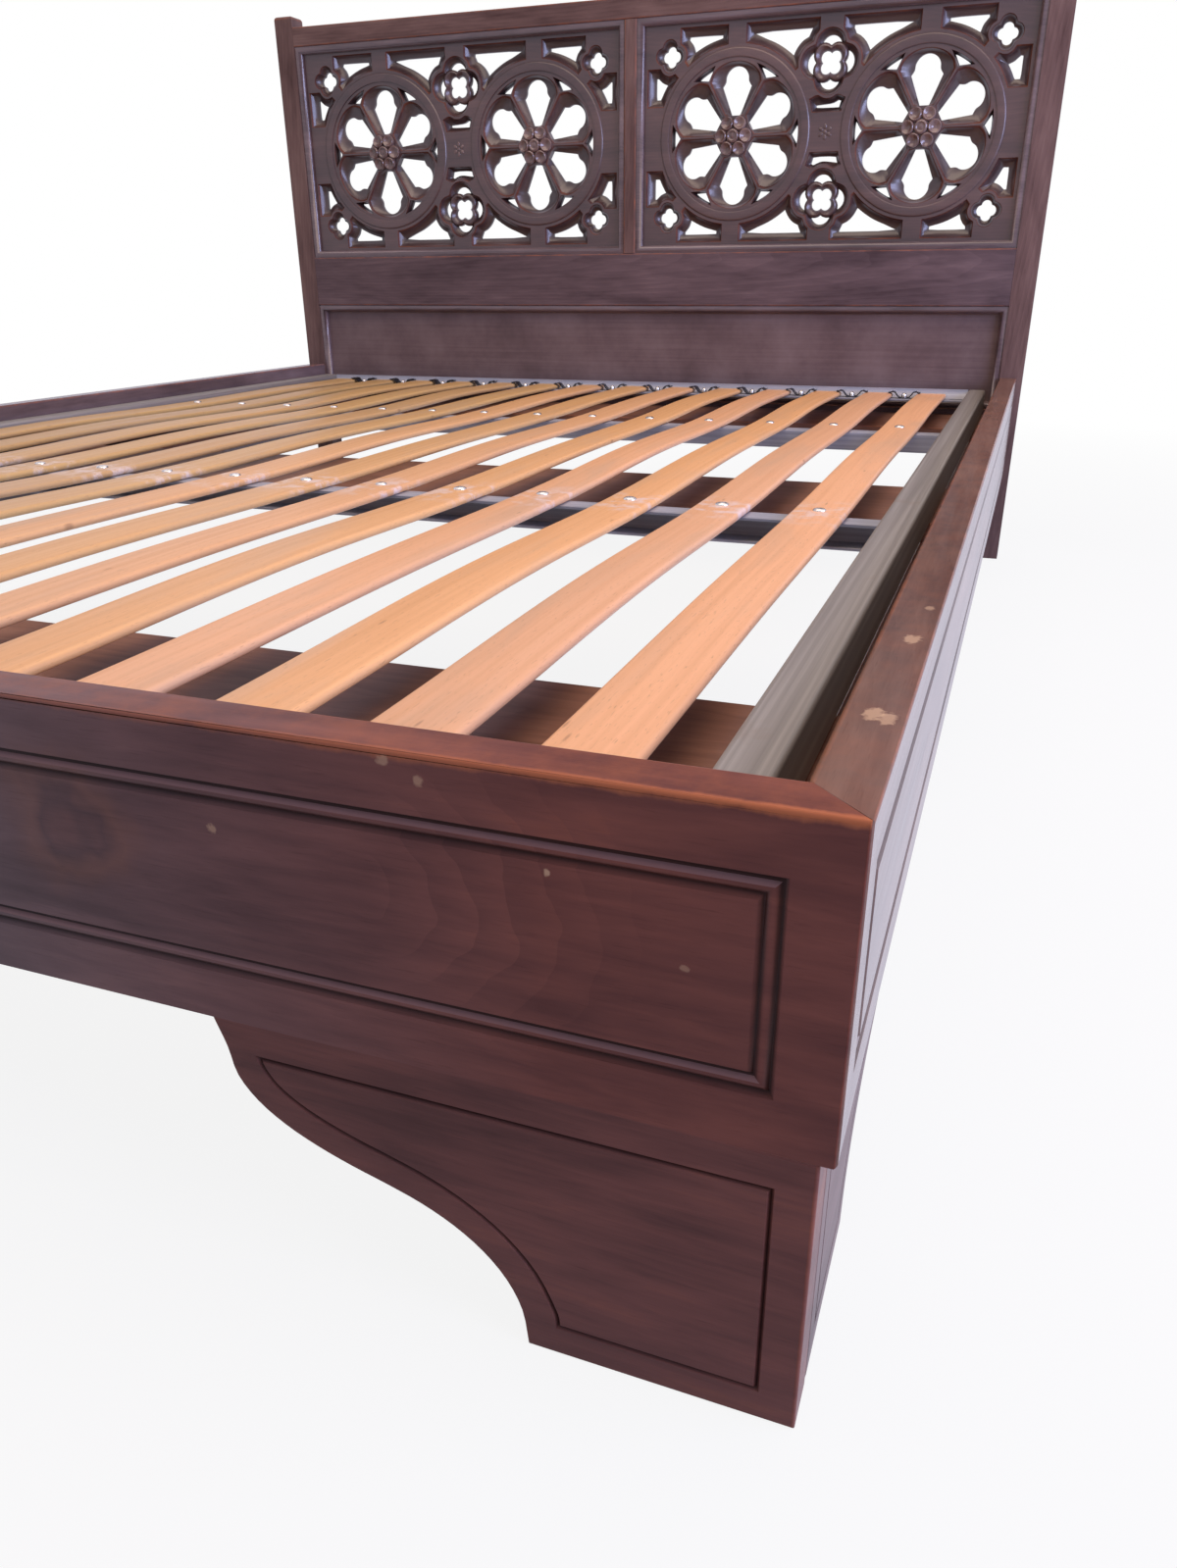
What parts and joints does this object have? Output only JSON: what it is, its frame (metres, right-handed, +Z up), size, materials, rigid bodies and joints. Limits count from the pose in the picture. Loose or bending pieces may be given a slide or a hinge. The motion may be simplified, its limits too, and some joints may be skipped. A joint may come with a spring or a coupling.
{
  "type": "double bed",
  "caption": "Low wooden double bed: headboard with pierced wheel tracery panels, boards with a routed bead, bracket front feet and a loose steel-framed slatted base that lifts out.",
  "frame": {"origin": "on the floor, under the middle of the bed's width and length", "axes": "+X across the bed, to the right seen from the foot; +Y from the foot to the head; +Z up"},
  "size_m": [1.52, 1.98, 0.989],
  "materials": {
    "stained_wood": "dark stain, satin lacquer",
    "panel_wood": "dark stain, greyed, satin",
    "plain_wood": "dark stain, matt",
    "beech": "clear lacquer, satin",
    "grey_steel": "worn grey paint",
    "dark_steel": "blackened"
  },
  "bodies": {
    "bed_frame": {"foot_cross_board": "plain_wood", "footboard": "stained_wood", "head_cross_board": "plain_wood", "headboard_bottom_rail": "stained_wood", "headboard_centre_stile": "stained_wood", "headboard_lower_panel": "panel_wood", "headboard_middle_rail": "stained_wood", "headboard_top_rail": "stained_wood", "left_corner_post": "plain_wood", "left_foot_front": "stained_wood", "left_foot_return": "stained_wood", "left_headboard_post": "stained_wood", "left_inner_rosette": "stained_wood", "left_ledger": "plain_wood", "left_lower_barrel_nut": "dark_steel", "left_lower_bed_bolt": "dark_steel", "left_outer_rosette": "stained_wood", "left_side_rail": "stained_wood", "left_tracery_bead": "stained_wood", "left_tracery_panel": "stained_wood", "left_upper_barrel_nut": "dark_steel", "left_upper_bed_bolt": "dark_steel", "lower_panel_bead": "stained_wood", "middle_cross_board": "plain_wood", "right_corner_post": "plain_wood", "right_foot_front": "stained_wood", "right_foot_return": "stained_wood", "right_headboard_post": "stained_wood", "right_inner_rosette": "stained_wood", "right_ledger": "plain_wood", "right_lower_barrel_nut": "dark_steel", "right_lower_bed_bolt": "dark_steel", "right_outer_rosette": "stained_wood", "right_side_rail": "stained_wood", "right_tracery_bead": "stained_wood", "right_tracery_panel": "stained_wood", "right_upper_barrel_nut": "dark_steel", "right_upper_bed_bolt": "dark_steel"},
    "slat_base": {"base_foot_rail": "grey_steel", "base_head_rail": "grey_steel", "base_left_rail": "grey_steel", "base_right_rail": "grey_steel", "far_cross_bar": "grey_steel", "near_cross_bar": "grey_steel", "slat_01": "beech", "slat_02": "beech", "slat_03": "beech", "slat_04": "beech", "slat_05": "beech", "slat_06": "beech", "slat_07": "beech", "slat_08": "beech", "slat_09": "beech", "slat_10": "beech", "slat_11": "beech", "slat_12": "beech", "slat_13": "beech", "slat_14": "beech"}
  },
  "joints": [
    {"name": "base_lift", "type": "slide", "parent": "bed_frame", "child": "slat_base", "axis": [0, 0, 1], "range_m": [0, 0.4]}
  ]
}
